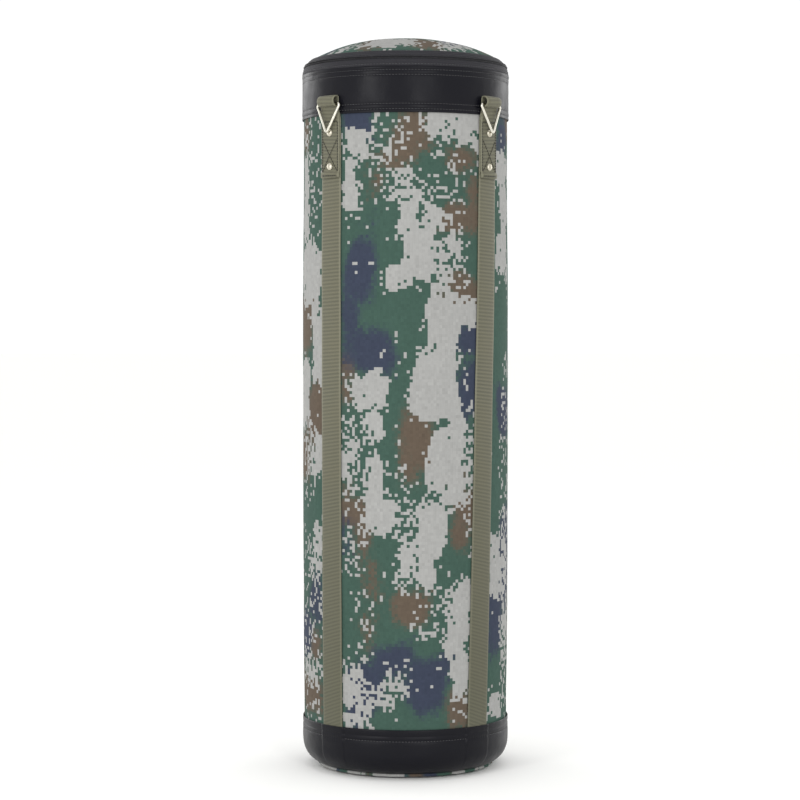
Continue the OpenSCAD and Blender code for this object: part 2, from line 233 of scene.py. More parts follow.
def camouflage(shape, light, brown, navy, speckled, rng):
    """The print's linear colour for every square."""
    ragged = 0.3 * smooth_field(shape, 1.3, rng) + 0.7 * smooth_field(shape, 4, rng)
    edge = outside(shape, light) + ragged
    is_light = fray(edge < 0, edge, 0.15 * (outside(shape, speckled) < 0), rng)
    drift = smooth_field(shape, 7, rng)
    tone = {key: np.array(linear(value)[:3]) for key, value in TONES.items()}
    loose = 0.5 * rng.standard_normal(shape) + 0.9 * ragged
    is_brown = 1 / (1 + np.exp((outside(shape, brown) + 0.9 * drift + loose) * 2.2))[..., None]
    is_navy = 1 / (1 + np.exp((outside(shape, navy) - 0.9 * drift + loose) * 2.0))[..., None]
    dark = tone["green"] * (1 - is_brown) + tone["brown"] * is_brown
    dark = dark * (1 - is_navy) + tone["navy"] * is_navy
    colour = np.where(is_light[..., None], tone["light"], dark)
    return colour * (1 + 0.035 * rng.standard_normal(shape)[..., None])


def scattered(count, columns, rows, size, rng):
    """Patches of the print that aren't seen beside the others: tall, and leaning to neither side."""
    return [(int(rng.integers(*columns)), int(rng.integers(*rows)), int(rng.integers(2, size)),
             int(rng.integers(3, size * 1.6))) for _ in range(count)]


rng = np.random.default_rng(268)
BACK = (80, 200)
tube_print = camouflage(
    (ROWS, COLUMNS),
    LIGHT + scattered(52, BACK, (0, ROWS), 9, rng),
    BROWN + scattered(34, BACK, (0, ROWS), 9, rng),
    NAVY + scattered(22, BACK, (0, ROWS), 9, rng),
    SPECKLED + scattered(8, BACK, (0, ROWS), 9, rng),
    rng,
)


def in_object(tree):
    """The piece's own space, in metres, as a place for patterns."""
    return add(tree, "ShaderNodeTexCoord"), "Object"


def mottle(tree, vector, size, detail=2.0):
    """Noise whose blotches are of the given size."""
    return add(tree, "ShaderNodeTexNoise", {"Vector": vector}, {"Scale": 1 / size, "Detail": detail})


def bands(tree, vector, pitch, distortion, direction):
    """Bands at the given pitch: at scale 1 the wave texture repeats every 0.314."""
    return add(tree, "ShaderNodeTexWave", {"Vector": vector},
               {"Scale": 0.314 / pitch, "Distortion": distortion}, bands_direction=direction)


def calc(tree, operation, *terms, **settings):
    """Arithmetic on nodes and numbers, given in the order of the operation's terms."""
    numbers = {i: term for i, term in enumerate(terms) if isinstance(term, (int, float))}
    nodes = {i: term for i, term in enumerate(terms) if i not in numbers}
    return add(tree, "ShaderNodeMath", nodes, numbers, operation=operation, **settings)


def mix(tree, share, first, second):
    """Mixes two colours by a share. The first is a hex colour or another mix."""
    mixed = isinstance(first, tuple)
    links = {0: share, 6: first} if mixed else {0: share}
    values = {7: linear(second)} if mixed else {6: linear(first), 7: linear(second)}
    return add(tree, "ShaderNodeMix", links, values, data_type="RGBA"), 2


def surface(tree, shader, colour, height, strength, depth):
    """Gives the shader its colour, and raises the surface by a height."""
    bump = add(tree, "ShaderNodeBump", {"Height": height}, {"Strength": strength, "Distance": depth})
    for (node, output), socket in ((colour, "Base Color"), ((bump, 0), "Normal")):
        tree.links.new(node.outputs[output], shader.inputs[socket])


def canvas_material():
    """Printed cotton canvas, plain woven: matt, with a faint fuzz and a weave just visible."""
    material, tree, shader = start_material("printed_cotton_canvas", Roughness=0.9, Sheen_Weight=0.02,
                                            Sheen_Roughness=0.5, Specular_IOR_Level=0.12)
    uv = add(tree, "ShaderNodeUVMap", uv_map="cloth")
    # Thread pitch is 0.6 mm in the real cloth; 1.6 and 1.9 mm are as fine as shows here
    warp = bands(tree, uv, 1.6 * MM, 0.4, "X")
    weft = bands(tree, uv, 1.9 * MM, 0.4, "Y")
    weave = calc(tree, "MULTIPLY", (warp, "Fac"), (weft, "Fac"))
    # Slubs: threads that run thicker for a few centimetres, up the cloth
    stretched = add(tree, "ShaderNodeMapping", {"Vector": uv}, {"Scale": (1 / (2.2 * MM), 1 / (26 * MM), 1)})
    slub = mottle(tree, stretched, 1.0)
    handling = mottle(tree, uv, 90 * MM, 3.0)
    shade = calc(tree, "MULTIPLY_ADD", weave, 0.07, 0.965)
    slubbed = calc(tree, "MULTIPLY_ADD", slub, 0.14, 0.93)
    worn = calc(tree, "MULTIPLY_ADD", handling, 0.12, 0.94)
    every = calc(tree, "MULTIPLY", calc(tree, "MULTIPLY", shade, slubbed), worn)
    dye = add(tree, "ShaderNodeAttribute", attribute_name="print")
    colour = add(tree, "ShaderNodeVectorMath", {0: (dye, "Color"), "Scale": every}, operation="SCALE")
    surface(tree, shader, (colour, 0), calc(tree, "ADD", slub, weave), 0.5, 0.12 * MM)
    return material


printed_canvas = canvas_material()


def azimuth(co):
    """Angle round the bag of a point, from 0 to 360."""
    return degrees(atan2(co.x, -co.y)) % 360


def dye_and_map(bm, colour_at, uv_at):
    """Colours each face from the print and lays the cloth's own map on it, in metres."""
    dye = bm.loops.layers.float_color.new("print")
    uv = bm.loops.layers.uv.new("cloth")
    for face in bm.faces:
        centre = face.calc_center_median()
        colour = (*colour_at(centre), 1.0)
        for loop in face.loops:
            loop[dye] = colour
            loop[uv].uv = uv_at(loop.vert.co, centre)


def finish_piece(name, bm, material, body, replaced=()):
    """Makes a shape an object that rides on a body and stands for CAD nodes."""
    mesh = bpy.data.meshes.new(name)
    bm.to_mesh(mesh)
    bm.free()
    mesh.materials.append(material)
    mesh.polygons.foreach_set("use_smooth", [True] * len(mesh.polygons))
    piece = bpy.data.objects.new(name, mesh)
    bpy.context.collection.objects.link(piece)
    if body:
        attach(piece, body)
    if replaced:
        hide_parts(*replaced)
    return piece


BAG_AXIS = {"cent": (0, 0, 0), "axis": (0, 0, 1), "dvec": (0, 0, 0)}


def repeat_round(bm, copies, span=tau):
    """Copies all that is there evenly over a span about the bag's axis."""
    bmesh.ops.spin(bm, geom=bm.verts[:] + bm.edges[:] + bm.faces[:], **BAG_AXIS,
                   angle=span * (copies - 1) / copies, steps=copies - 1, use_duplicate=True)


def weld(bm, distance=1e-6):
    """Joins copies where they meet and turns every face outward."""
    bmesh.ops.remove_doubles(bm, verts=bm.verts[:], dist=distance)
    bmesh.ops.recalc_face_normals(bm, faces=bm.faces[:])


def draw_line(bm, points):
    """Points joined by edges, ready to be spun."""
    verts = [bm.verts.new(point) for point in points]
    return verts + [bm.edges.new(pair) for pair in zip(verts, verts[1:])]


def spin_profile(points, steps, wedges):
    """A closed ring of surface from (radius, height) points: one wedge is spun, then repeated."""
    bm = bmesh.new()
    line = draw_line(bm, [(0, -r, z) for r, z in points])
    bmesh.ops.spin(bm, geom=line, **BAG_AXIS, angle=tau / wedges, steps=steps // wedges)
    repeat_round(bm, wedges)
    weld(bm)
    return bm


def tube_square(centre):
    """The print's colour at a place on the tube."""
    column = int(azimuth(centre) / STEP) % COLUMNS
    row = min(max(int((centre.z - BASE_HEM_Z) / CELL), 0), ROWS - 1)
    return tube_print[row, column]


def tube_map(co, centre):
    """The tube's cloth unrolled, with no jump inside a face that crosses the front."""
    turn = (azimuth(co) - azimuth(centre) + 180) % 360 - 180
    return (radians(azimuth(centre) + turn) * BAG_R, co.z)


def ease(share):
    """A share held between 0 and 1 and rounded off at both ends."""
    share = min(max(share, 0.0), 1.0)
    return share * share * (3 - 2 * share)


def swell(z):
    """How far the stuffing pushes the canvas out, away from the bands and the rivets."""
    return 1.4 * MM * ease((z - 90 * MM) / (150 * MM)) * ease((840 * MM - z) / (150 * MM))


tube_heights = [BASE_HEM_Z + (i - SPARE_ROWS) * CELL for i in range(ROWS + 2 * SPARE_ROWS + 1)]
tube_heights = [z for z in tube_heights if z < TOP_HEM_Z + 8 * MM]
canvas_bm = spin_profile([(BAG_R, z) for z in tube_heights], COLUMNS, 6)
for vert in canvas_bm.verts:
    # The stuffing packs unevenly, and the hems draw the canvas in a little
    angle, z = azimuth(vert.co), vert.co.z
    lumps = noise.noise(Vector((vert.co.x, vert.co.y, z * 0.7)) * 14)
    ripple = noise.noise(Vector((vert.co.x * 2, vert.co.y * 2, z * 0.5)) * 40)
    dent = max(0.0, 1 - abs((z - TOP_HEM_Z) / (14 * MM))) + max(0.0, 1 - abs((z - BASE_HEM_Z) / (12 * MM)))
    inward = 0.55 + 0.45 * lumps + 0.12 * ripple + 0.25 * dent
    vert.co.x, vert.co.y, _ = at_angle(angle, BAG_R + swell(z) - inward * MM)
dye_and_map(canvas_bm, tube_square, tube_map)
canvas = finish_piece("canvas_tube", canvas_bm, printed_canvas, "bag", ["canvas_body"])

# ---- leather end bands ----
# Black coated leather, cut in strips, hemmed and double stitched to the canvas. The top band
# stands straight; the base band turns in under the bag and covers the tucked strap ends.
STITCHES = 208
TOP_ROWS = (949.5, 957, 997.5, 1004.5)
BASE_ROWS = (56,)
THREAD_R = 0.42 * MM
FOOT_ANGLES = [0.8, 87.9, 180.8, 269.4]
SHOULDER_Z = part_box("top_band")[1].z
FOOT_CORNER = 34 * MM
FOOT_CORNER_Z = 38 * MM
FOOT_TURN = 73.8


def leather_material():
    """Polyurethane-coated leather, embossed with a fine pebble grain: black with a soft satin shine."""
    material, tree, shader = start_material("black_coated_leather", Base_Color=linear("#0c0c13"),
                                            Specular_IOR_Level=0.16)
    place = in_object(tree)
    pebble = add(tree, "ShaderNodeTexVoronoi", {"Vector": place}, {"Scale": 1 / (1.7 * MM)},
                 feature="SMOOTH_F1")
    crease = mottle(tree, place, 9 * MM, 4.0)
    patchy = mottle(tree, place, 35 * MM)
    rough = add(tree, "ShaderNodeMapRange", {"Value": patchy},
                {"From Min": 0.3, "From Max": 0.7, "To Min": 0.3, "To Max": 0.44})
    tree.links.new(rough.outputs[0], shader.inputs["Roughness"])
    fine = add(tree, "ShaderNodeBump", {"Height": (pebble, "Distance")},
               {"Strength": 0.35, "Distance": 0.25 * MM}, invert=True)
    bump = add(tree, "ShaderNodeBump", {"Height": crease, "Normal": fine},
               {"Strength": 0.35, "Distance": 0.7 * MM})
    tree.links.new(bump.outputs[0], shader.inputs["Normal"])
    return material


def thread_material(name, colour, worn):
    """Bonded nylon thread: smooth and waxed, so that each stitch catches the light."""
    material, tree, shader = start_material(name, Roughness=0.42)
    place = in_object(tree)
    # Twist of the ply, at 1.2 mm
    ply = mottle(tree, place, 1.2 * MM)
    tint, output = mix(tree, calc(tree, "MULTIPLY", ply, 0.45), colour, worn)
    tree.links.new(tint.outputs[output], shader.inputs["Base Color"])
    return material


leather = leather_material()
black_thread = thread_material("black_bonded_thread", "#2e2e32", "#6c6b6c")


def foot_arc(turn, grown=0.0):
    """A point on the base band's turned corner, in radius and height."""
    t = radians(turn)
    return (BAND_R - FOOT_CORNER + (FOOT_CORNER + grown) * cos(t),
            FOOT_CORNER_Z - (FOOT_CORNER + grown) * sin(t))


def raised(profile, base_r):
    """Profile points given in millimetres above a radius, as metres."""
    return [(base_r + lift * MM, z * MM) for lift, z in profile]


top_profile = raised([
    (-0.9, 947), (-0.9, 945.6), (-0.5, 944.9), (0.1, 944.7), (0.5, 945.2), (0.6, 946.3), (0.45, 947.8),
    (0.0, 948.9), (-0.2, 949.5), (0.0, 950.1), (0.55, 951.2), (0.75, 953), (0.55, 955), (0.0, 956.3),
    (-0.2, 957), (0.0, 957.7), (0.4, 959), (0.55, 963), (0.5, 970), (0.35, 978), (0.35, 986), (0.4, 992),
    (0.35, 995.5), (0.0, 996.9), (-0.2, 997.5), (0.0, 998.1), (0.4, 999.4), (0.4, 1002.4), (0.0, 1003.9),
    (-0.2, 1004.5), (0.05, 1005.1), (0.6, 1006.2), (0.85, 1007.8), (0.6, 1009.2), (-0.1, 1009.9),
    (-0.9, 1010),
], BAND_R)
base_profile = raised([
    (-0.9, 70), (-0.9, 71.6), (-0.4, 72.4), (0.2, 72.5), (0.55, 71.8), (0.6, 69.5), (0.45, 65.5), (0.1, 63.6),
    (-0.15, 63), (0.1, 62.4), (0.5, 61), (0.45, 58), (0.0, 56.7), (-0.2, 56), (0.0, 55.3), (0.4, 54),
    (0.5, 51), (0.5, 47), (0.4, 43), (0.25, 40),
], BAND_R) + [foot_arc(turn, 0.15 * MM) for turn in range(2, 74, 5)] + [
    foot_arc(FOOT_TURN, -0.5 * MM), foot_arc(FOOT_TURN, -2.2 * MM)]


# A strap end under the leather lifts a pocket 47 mm wide, 1.75 mm high above the foot's corner
POCKET_HALF_W = 23.5
POCKET_RISE = 1.75


def leather_band(name, profile, rows, pockets, node):
    """A spun band, puckered at its stitch rows, lightly crumpled, and raised over hidden straps."""
    bm = spin_profile(profile, STITCHES * 4, 32)
    for vert in bm.verts:
        angle, z = azimuth(vert.co), vert.co.z
        radius = vert.co.xy.length
        crumple = noise.noise(Vector((vert.co.x * 0.8, vert.co.y * 0.8, z * 2.2)) * 28)
        wrinkle = noise.noise(Vector((vert.co.x, vert.co.y, z * 3.5)) * 75)
        out = 0.45 * crumple + 0.16 * wrinkle
        for row in rows:
            near = max(0.0, 1 - abs(z - row * MM) / (3.2 * MM))
            out -= 0.16 * near * cos(radians(angle) * STITCHES)
        for pocket in pockets:
            beside = abs((angle - pocket + 180) % 360 - 180) * radians(1) * BAND_R / MM
            depth = POCKET_RISE if z > 50 * MM else 0.55 + 1.2 * max(0, (z / MM - 44) / 6)
            depth *= min(1, max(0, (z / MM - 10) / 16))
            out += depth * ease((POCKET_HALF_W - beside) / 3.5)
        vert.co.x, vert.co.y, _ = at_angle(angle, radius + out * MM)
    return finish_piece(name, bm, leather, "bag", [node])


leather_band("leather_top_band", top_profile, TOP_ROWS, (), "top_band")
leather_band("leather_base_band", base_profile, BASE_ROWS, FOOT_ANGLES, "base_band")


def one_stitch(bm, length, thick):
    """A lock stitch lying along X, tapered where it dives into its holes."""
    made = bmesh.ops.create_uvsphere(bm, u_segments=6, v_segments=5, radius=1.0)["verts"]
    bmesh.ops.rotate(bm, verts=made, cent=(0, 0, 0), matrix=Matrix.Rotation(pi / 2, 3, "Y"))
    bmesh.ops.scale(bm, verts=made, vec=(length / 2, thick, thick))
    return made


def stitched_rows(name, rows, thread, body, length=3.4 * MM):
    """Rows of stitches right round the bag, each row at a radius and height."""
    bm = bmesh.new()
    for radius, z in rows:
        made = one_stitch(bm, length, THREAD_R)
        bmesh.ops.translate(bm, verts=made, vec=(0, -radius, z))
    repeat_round(bm, STITCHES // 16, tau / 16)
    repeat_round(bm, 16)
    return finish_piece(name, bm, thread, body)


stitched_rows("band_stitching", [(BAND_R + 0.12 * MM, z * MM) for z in TOP_ROWS + BASE_ROWS],
              black_thread, "bag")

# ---- cap and base ----
# A disc of the same canvas, cut across the cloth, closes each end. The cap is crowned by its
# foam pad and sewn to the inner zip tape; the base disc's raw edge shows as a rough lip.
CAP_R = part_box("top_cap")[1].x
CAP_TOP_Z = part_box("top_cap")[1].z
CROWN_Z = 1033 * MM
BASE_SEAM_R = 126.3 * MM


def crown_height(radius):
    """Height of the stuffed cap at a distance from the axis."""
    return CROWN_Z + (CAP_TOP_Z - CROWN_Z) * (1 - min(radius / CAP_R, 1) ** 2.5)


def foot_height(radius):
    """Height of the base disc, which lies flat and lifts where the band turns under."""
    lift = max(0.0, (radius / MM - 113) / (BASE_SEAM_R / MM - 113))
    return 0.25 * MM + 4.4 * MM * lift ** 1.5


def print_disc(radius, height_at, turn, seed, uneven, placed=((), (), (), ())):
    """A round of printed canvas whose squares lie at an angle, cut to a true circle."""
    disc_rng = np.random.default_rng(seed)
    across = 2 * int(radius / CELL) + 4
    # Random patches keep to the far rows where others are listed
    rows = (26 if placed[0] else 0, across)
    patches = [scattered(n, (0, across - 8), rows, 8, disc_rng) + list(known)
               for n, known in zip((9, 6, 4, 2), placed)]
    squares = camouflage((across, across), *patches, disc_rng)
    bm = bmesh.new()
    bmesh.ops.create_grid(bm, x_segments=across, y_segments=across, size=across * CELL / 2)
    stray = [v for v in bm.verts if v.co.length > radius + 0.5 * CELL]
    bmesh.ops.delete(bm, geom=stray, context="VERTS")
    bmesh.ops.delete(bm, geom=[v for v in bm.verts if not v.link_faces], context="VERTS")

    def square_at(centre):
        return squares[min(int(centre.y / CELL + across / 2), across - 1),
                       min(int(centre.x / CELL + across / 2), across - 1)]

    dye_and_map(bm, square_at, lambda co, centre: (co.x, co.y))
    for vert in bm.verts:
        if vert.is_boundary:
            vert.co *= radius / vert.co.length
        vert.co.z = height_at(vert.co.length) + uneven * noise.noise(vert.co * 22)
    bmesh.ops.rotate(bm, verts=bm.verts[:], cent=(0, 0, 0),
                     matrix=Matrix.Rotation(radians(turn), 3, "Z"))
    return bm


def thicken(piece, thickness):
    """Gives a sheet its thickness, inwards."""
    solid = piece.modifiers.new("thickness", "SOLIDIFY")
    solid.thickness = thickness
    solid.offset = -1.0
    return solid


def woven_material(name, colour, dark, pitch, rows="Z"):
    """Plain woven cloth, undyed or mixed, in thread rows of the given pitch."""
    material, tree, shader = start_material(name, Roughness=0.9, Specular_IOR_Level=0.2)
    place = in_object(tree)
    weave = bands(tree, place, pitch, 1.5, rows)
    blotch = mottle(tree, place, 12 * MM, 4.0)
    both = calc(tree, "MULTIPLY_ADD", (weave, "Fac"), 0.3, blotch)
    surface(tree, shader, mix(tree, both, dark, colour), both, 0.4, 0.3 * MM)
    return material


# Patches seen on the crown, in squares of the disc: light, brown, navy and speckled, as above
CAP_PATCHES = (
    [(5, 25, 2, 2), (21, 9, 2, 1), (30, 10, 3, 4), (34, 11, 4, 5), (38, 11, 3, 4), (52, 16, 1, 3),
     (54, 18, 2, 2), (57, 21, 3, 3), (63, 33, 3, 3)],
    [(27, 8, 2, 4), (43, 11, 3, 4), (47, 13, 3, 4), (61, 26, 2, 3)],
    [(12, 16, 2, 3), (22, 22, 5, 4)],
    [(20, 10, 4, 4), (46, 13, 5, 4), (53, 17, 4, 4)],
)
cap_bm = print_disc(CAP_R, crown_height, 31, 41, 0.9 * MM, CAP_PATCHES)
for vert in cap_bm.verts:
    # Gathered a little where it is sewn to the zip
    radius = vert.co.xy.length
    near_edge = max(0.0, 1 - (CAP_R - radius) / (16 * MM))
    vert.co.z += 0.45 * MM * near_edge * noise.noise(Vector((azimuth(vert.co) * 0.19, 0, 4.2)))
cap = finish_piece("cap_canvas", cap_bm, printed_canvas, "cap", ["top_cap"])
# The dye only reaches the face: the reverse, seen when the cap is open, is the cloth's own grey
canvas_reverse = woven_material("undyed_canvas_reverse", "#8f918a", "#6d706a", 2.4 * MM, "X")
cap.data.materials.append(canvas_reverse)
thicken(cap, 0.9 * MM).material_offset = 1

base_bm = print_disc(BASE_SEAM_R, foot_height, 12, 77, 0.0)
bmesh.ops.reverse_faces(base_bm, faces=base_bm.faces[:])
base = finish_piece("base_canvas", base_bm, printed_canvas, "bag", ["base_disc"])

# The lip: cut edges of the disc and the band, turned down together and left rough
LIP_SQUARES = 416
LIP_ROW = 5
lip_profile = ((127.6, 6.4), (128.4, 5.2), (128.9, 3.6), (128.3, 2.2), (126.9, 1.7), (125.4, 2.4),
               (124.8, 3.9))
lip_bm = spin_profile([(radius * MM, z * MM) for radius, z in lip_profile], LIP_SQUARES, 16)
lip_patches = [scattered(n, (0, LIP_SQUARES), (0, 12), 9, rng) for n in (20, 14, 8, 4)]
lip_squares = camouflage((12, LIP_SQUARES), *lip_patches, rng)
for vert in lip_bm.verts:
    around_bag = azimuth(vert.co)
    ragged = noise.noise(Vector((vert.co.x, vert.co.y, 0)) * 55) + 0.6 * noise.noise(vert.co * 330)
    radius = vert.co.xy.length + 0.8 * MM * ragged
    z = vert.co.z + 0.7 * MM * noise.noise(Vector((vert.co.x, vert.co.y, 0.3)) * 90)
    vert.co = at_angle(around_bag, radius, max(z, 0.6 * MM))


def lip_square(centre):
    """The print's colour at a place on the lip, which shows one row of squares."""
    return lip_squares[LIP_ROW, int(azimuth(centre) * LIP_SQUARES / 360) % LIP_SQUARES]


dye_and_map(lip_bm, lip_square, tube_map)
finish_piece("base_seam_lip", lip_bm, printed_canvas, "bag")

# ---- zip ----
# A continuous coil zip lies on the shoulder: black ribbed tape sewn to the band on one side and
# to the cap on the other, with two rows of nylon coil, a zinc slider and wire stops.
SHOULDER_R = 27.3 * MM
SHOULDER_X = BAND_R - SHOULDER_R
COIL_TURN = 29.0
COIL_HALF_TURN = 3.2
HINGE_ANGLE = 225.0
HINGE_HALF = 24.0


def on_shoulder(turn, lift):
    """Radius and height of a place on the shoulder, lifted off it."""
    t = radians(turn)
    return (SHOULDER_X + (SHOULDER_R + lift) * cos(t), SHOULDER_Z + (SHOULDER_R + lift) * sin(t))


def tape_profile(first, last, ridge_turns, steps):
    """Tape seen end on, from one turn to another, ribbed along the ridges; both edges dip."""
    points = []
    for i in range(steps + 1):
        turn = first + (last - first) * i / steps
        lift = sum(0.75 * exp(-(((turn - ridge) / 1.25) ** 2)) for ridge in ridge_turns)
        points.append(on_shoulder(turn, (lift - 0.1) * MM))
    return points


def tape_material():
    """Woven polyester tape: matt black with a slight sheen along its ribs."""
    material, tree, shader = start_material("zip_tape_woven_polyester", Roughness=0.72, Sheen_Weight=0.08,
                                            Sheen_Roughness=0.4, Specular_IOR_Level=0.3)
    place = in_object(tree)
    # Herringbone of the weave, at 1.4 mm
    herring = bands(tree, place, 1.4 * MM, 3.0, "DIAGONAL")
    surface(tree, shader, mix(tree, herring, "#1b1b1f", "#2b2a30"), herring, 0.4, 0.15 * MM)
    return material


zip_tape = tape_material()
for name, profile, body, node in (
    ("outer_zip_tape", tape_profile(-0.6, 27.6, (4, 11, 18.5), 44), "bag", "zip_tape_outer"),
    ("inner_zip_tape", tape_profile(30.4, 62.2, (39.5, 47, 54.5), 46), "cap", "zip_tape_inner"),
):
    tape_bm = spin_profile(profile, 288, 12)
    for vert in tape_bm.verts:
        # Easing: the tape is longer than the edge it turns round, so it ripples
        ripple = noise.noise(Vector((vert.co.x, vert.co.y, vert.co.z * 2)) * 36)
        radius = vert.co.xy.length
        if radius < CAP_R + 9 * MM or vert.co.z < SHOULDER_Z + 8 * MM:
            vert.co.z += 0.25 * MM * ripple
    thicken(finish_piece(name, tape_bm, zip_tape, body, [node]), 0.6 * MM)

nylon_coil, coil_tree, coil_shader = start_material("zip_coil_nylon_monofilament", Roughness=0.35)
# Drawn nylon: dark, smooth, each loop with its own small highlight and a slight uneven dye
coil_dye = mottle(coil_tree, in_object(coil_tree), 3 * MM)
coil_tint, coil_output = mix(coil_tree, coil_dye, "#131315", "#222226")
coil_tree.links.new(coil_tint.outputs[coil_output], coil_shader.inputs["Base Color"])

# The loops of one side are a stack of twelve, repeated over the 310 degrees that open
ZIP_SWEEP = 310
LOOPS_IN_STACK = 12
STACKS = 31
LOOP_PITCH = ZIP_SWEEP / (STACKS * LOOPS_IN_STACK)
for name, side, behind, body, node in (
    ("outer_coil_loops", -1, 0.0, "bag", "zip_coil_outer"),
    ("inner_coil_loops", 1, 0.5, "cap", "zip_coil_inner"),
):
    coil_bm = bmesh.new()
    bmesh.ops.create_uvsphere(coil_bm, u_segments=8, v_segments=5, radius=1.0)
    bmesh.ops.scale(coil_bm, verts=coil_bm.verts[:], vec=(0.62 * MM, 0.72 * MM, 1.35 * MM))
    radius, z = on_shoulder(COIL_TURN + side * COIL_HALF_TURN, 0.75 * MM)
    start = HINGE_ANGLE - HINGE_HALF - 1 - ZIP_SWEEP + behind * LOOP_PITCH
    place = (Matrix.Rotation(radians(start), 4, "Z") @ Matrix.Translation((0, -radius, z))
             @ Matrix.Rotation(radians(COIL_TURN), 4, "X") @ Matrix.Rotation(radians(14), 4, "Y"))
    bmesh.ops.transform(coil_bm, matrix=place, verts=coil_bm.verts[:])
    repeat_round(coil_bm, LOOPS_IN_STACK, radians(LOOPS_IN_STACK * LOOP_PITCH))
    repeat_round(coil_bm, STACKS, radians(ZIP_SWEEP))
    finish_piece(name, coil_bm, nylon_coil, body, [node])

# The cap stays sewn at the back: doubled tape over the gap, as it lies with the cap shut
fold_bm = bmesh.new()
fold_section = [on_shoulder(turn, (1.0 + 0.5 * cos(radians((turn - COIL_TURN) * 11))) * MM)
                for turn in range(21, 38, 2)]
fold_line = draw_line(fold_bm, [at_angle(HINGE_ANGLE - HINGE_HALF, radius, z) for radius, z in fold_section])
bmesh.ops.spin(fold_bm, geom=fold_line, **BAG_AXIS, angle=radians(2 * HINGE_HALF), steps=72)
bmesh.ops.solidify(fold_bm, geom=fold_bm.faces[:], thickness=0.6 * MM)
bmesh.ops.recalc_face_normals(fold_bm, faces=fold_bm.faces[:])
fold = finish_piece("cap_hinge_fold", fold_bm, zip_tape, None, ["cap_hinge_strip"])
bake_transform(fold)

# Zip stitching: one row along each tape, in black thread
stitched_rows("outer_tape_stitching", [on_shoulder(7.5, 0.05 * MM)], black_thread, "bag")
stitched_rows("inner_tape_stitching", [on_shoulder(58.5, 0.1 * MM)], black_thread, "cap",
              3.0 * MM)


def cast_metal(name, colour, dark, roughness):
    """Metal with slight clouding from handling; metals keep the default IOR."""
    material, tree, shader = start_material(name, Metallic=1.0)
    place = in_object(tree)
    cloud = mottle(tree, place, 6 * MM, 4.0)
    rough = add(tree, "ShaderNodeMapRange", {"Value": cloud},
                {"To Min": roughness + 0.1, "To Max": roughness})
    tree.links.new(rough.outputs[0], shader.inputs["Roughness"])
    scratch = mottle(tree, place, 0.8 * MM)
    surface(tree, shader, mix(tree, cloud, dark, colour), scratch, 0.12, 0.05 * MM)
    return material


# Die-cast zinc alloy, plated: greyer than steel and slightly orange-peeled
zinc = cast_metal("zinc_die_cast_plated", "#c9c6bd", "#98958c", 0.28)


def keep_node(node, material):
    """A CAD node that is shown as it is, with its finish."""
    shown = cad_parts[node]
    shown.data.materials.clear()
    shown.data.materials.append(material)


for node in ("zip_slider", "zip_pull", "zip_stops"):
    keep_node(node, zinc)

# ---- webbing straps ----
# Four lengths of olive 38 mm webbing. Each is tucked under the base band, runs up the canvas,
# rolls round its ring's bar and comes back down as a tail, stitched in a cross and riveted.
TOP_ANGLES = [0, 96.2, 180, 270]
SIDES = ["front", "right", "back", "left"]
WEB_W = 38 * MM
WEB_T = 1.8 * MM
RIVET_ZS = [871 * MM, 919 * MM]
HINGE_R = 154.85 * MM
HINGE_Z = 963.5 * MM
ROLL_R = 7.3 * MM
ROLL_W = 34.2 * MM
TAIL_W = 36.5 * MM
FOLD_Z = 854.6 * MM
RIB = 5.15 * MM
ROW = RIB / 5
RUN_R = BAG_R + 1.0 * MM
HIGH_R = BAND_R + 1.0 * MM


def strap_route():
    """The webbing seen from the side, row by row: radius and height, length so far, width, and how
    straight it lies across. Last comes the length at which the tail starts."""
    roll = [(HINGE_R + ROLL_R * cos(radians(t)), HINGE_Z + ROLL_R * sin(radians(t)))
            for t in range(112, -101, -6)]
    fold_r, fold_in = RUN_R + 3.4 * MM, RUN_R + WEB_T
    turn = [(fold_r - 0.8 * MM + 0.8 * MM * cos(radians(t)),
             FOLD_Z + 1.7 * MM + 0.8 * MM * sin(radians(t))) for t in range(0, -181, -30)]
    knots = [(RUN_R, 53 * MM), (RUN_R, 937 * MM), (HIGH_R, 946.5 * MM), (HIGH_R, HINGE_Z + 3 * MM)] + roll + [
        (HIGH_R + WEB_T, 953 * MM), (HIGH_R + WEB_T, 947.5 * MM), (fold_in, 938 * MM), (fold_in, 864.5 * MM),
        (fold_r, 861 * MM)] + turn + [(fold_in, 861 * MM)]
    knots = np.array(knots)
    length = np.concatenate([[0], np.cumsum(np.linalg.norm(np.diff(knots, axis=0), axis=1))])
    rows = int(length[-1] / ROW)
    along = np.linspace(0, length[-1], rows + 1)
    route = np.stack([np.interp(along, length, knots[:, k]) for k in (0, 1)], axis=1)
    smooth = route.copy()
    smooth[1:-1] = (route[:-2] + 2 * route[1:-1] + route[2:]) / 4
    smooth[:, 0] += [swell(z) for z in smooth[:, 1]]
    roll_start, roll_end = length[2], length[4 + len(roll)]
    tail = np.clip((along - roll_end) / (26 * MM), 0, 1)
    width = np.where(along < roll_start, WEB_W,
                     np.where(along < roll_end, ROLL_W, ROLL_W + (TAIL_W - ROLL_W) * tail))
    width = np.convolve(np.pad(width, 7, mode="edge"), np.ones(15) / 15, "valid")
    straight = np.clip((smooth[:, 1] - 944 * MM) / (8 * MM), 0, 1)
    return smooth, along, width, straight, roll_end


